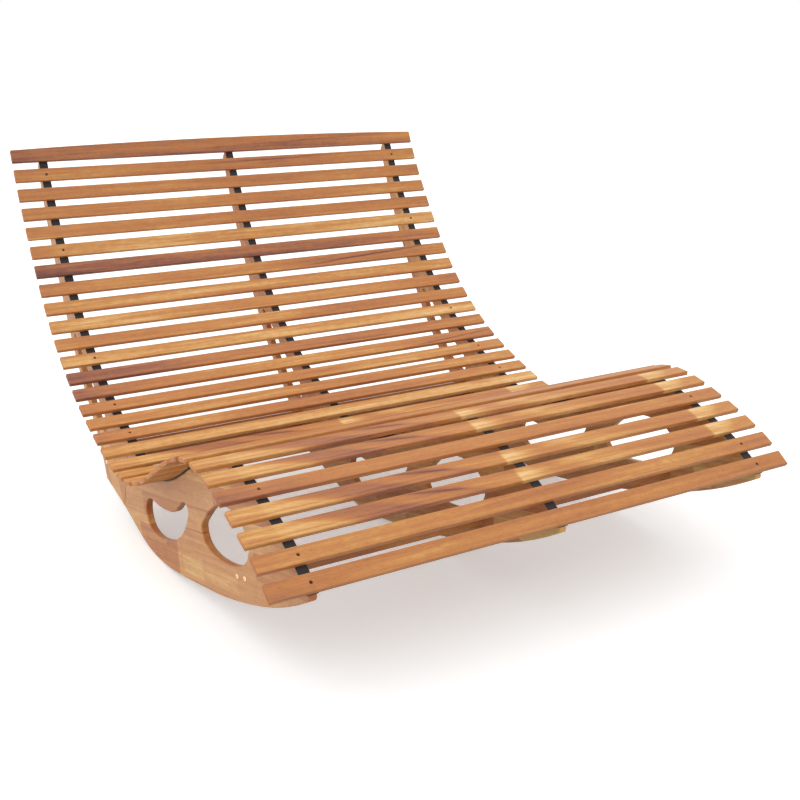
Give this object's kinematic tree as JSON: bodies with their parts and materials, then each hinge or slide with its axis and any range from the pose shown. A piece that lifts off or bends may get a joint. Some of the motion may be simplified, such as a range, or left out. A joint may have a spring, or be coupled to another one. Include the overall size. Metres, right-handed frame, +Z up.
{
  "type": "rocking chaise lounge",
  "caption": "Wide rocking sun lounger with a wave-shaped slatted lying surface on curved wooden frames with openings, rocker edges and flat heel stops.",
  "frame": {"origin": "on the floor below the middle of the lounger's bounding box, midway across its width", "axes": "+X across the lounger to the right as seen from the foot end, +Y from the foot end to the head end, +Z up"},
  "size_m": [1.2, 1.4884, 0.8291],
  "materials": {
    "acacia_slats": "oiled",
    "acacia_frames": "oiled",
    "webbing": "woven",
    "zinc_steel": "zinc plated"
  },
  "bodies": {
    "root": {"slat_01": "acacia_slats", "slat_02": "acacia_slats", "slat_03": "acacia_slats", "slat_04": "acacia_slats", "slat_05": "acacia_slats", "slat_06": "acacia_slats", "slat_07": "acacia_slats", "slat_08": "acacia_slats", "slat_09": "acacia_slats", "slat_10": "acacia_slats", "slat_11": "acacia_slats", "slat_12": "acacia_slats", "slat_13": "acacia_slats", "slat_14": "acacia_slats", "slat_15": "acacia_slats", "slat_16": "acacia_slats", "slat_17": "acacia_slats", "slat_18": "acacia_slats", "slat_19": "acacia_slats", "slat_20": "acacia_slats", "slat_21": "acacia_slats", "slat_22": "acacia_slats", "slat_23": "acacia_slats", "slat_24": "acacia_slats", "slat_25": "acacia_slats", "slat_26": "acacia_slats", "slat_27": "acacia_slats", "slat_28": "acacia_slats", "slat_29": "acacia_slats", "slat_30": "acacia_slats", "slat_31": "acacia_slats", "slat_32": "acacia_slats", "slat_33": "acacia_slats", "slat_34": "acacia_slats", "slat_35": "acacia_slats", "back_panel_left": "acacia_frames", "seat_panel_left": "acacia_frames", "strap_left": "webbing", "back_panel_middle": "acacia_frames", "seat_panel_middle": "acacia_frames", "strap_middle": "webbing", "back_panel_right": "acacia_frames", "seat_panel_right": "acacia_frames", "strap_right": "webbing", "front_cross_rail": "acacia_frames", "rear_cross_rail": "acacia_frames", "rail_bolts": "zinc_steel", "slat_screws": "zinc_steel"}
  },
  "joints": []
}
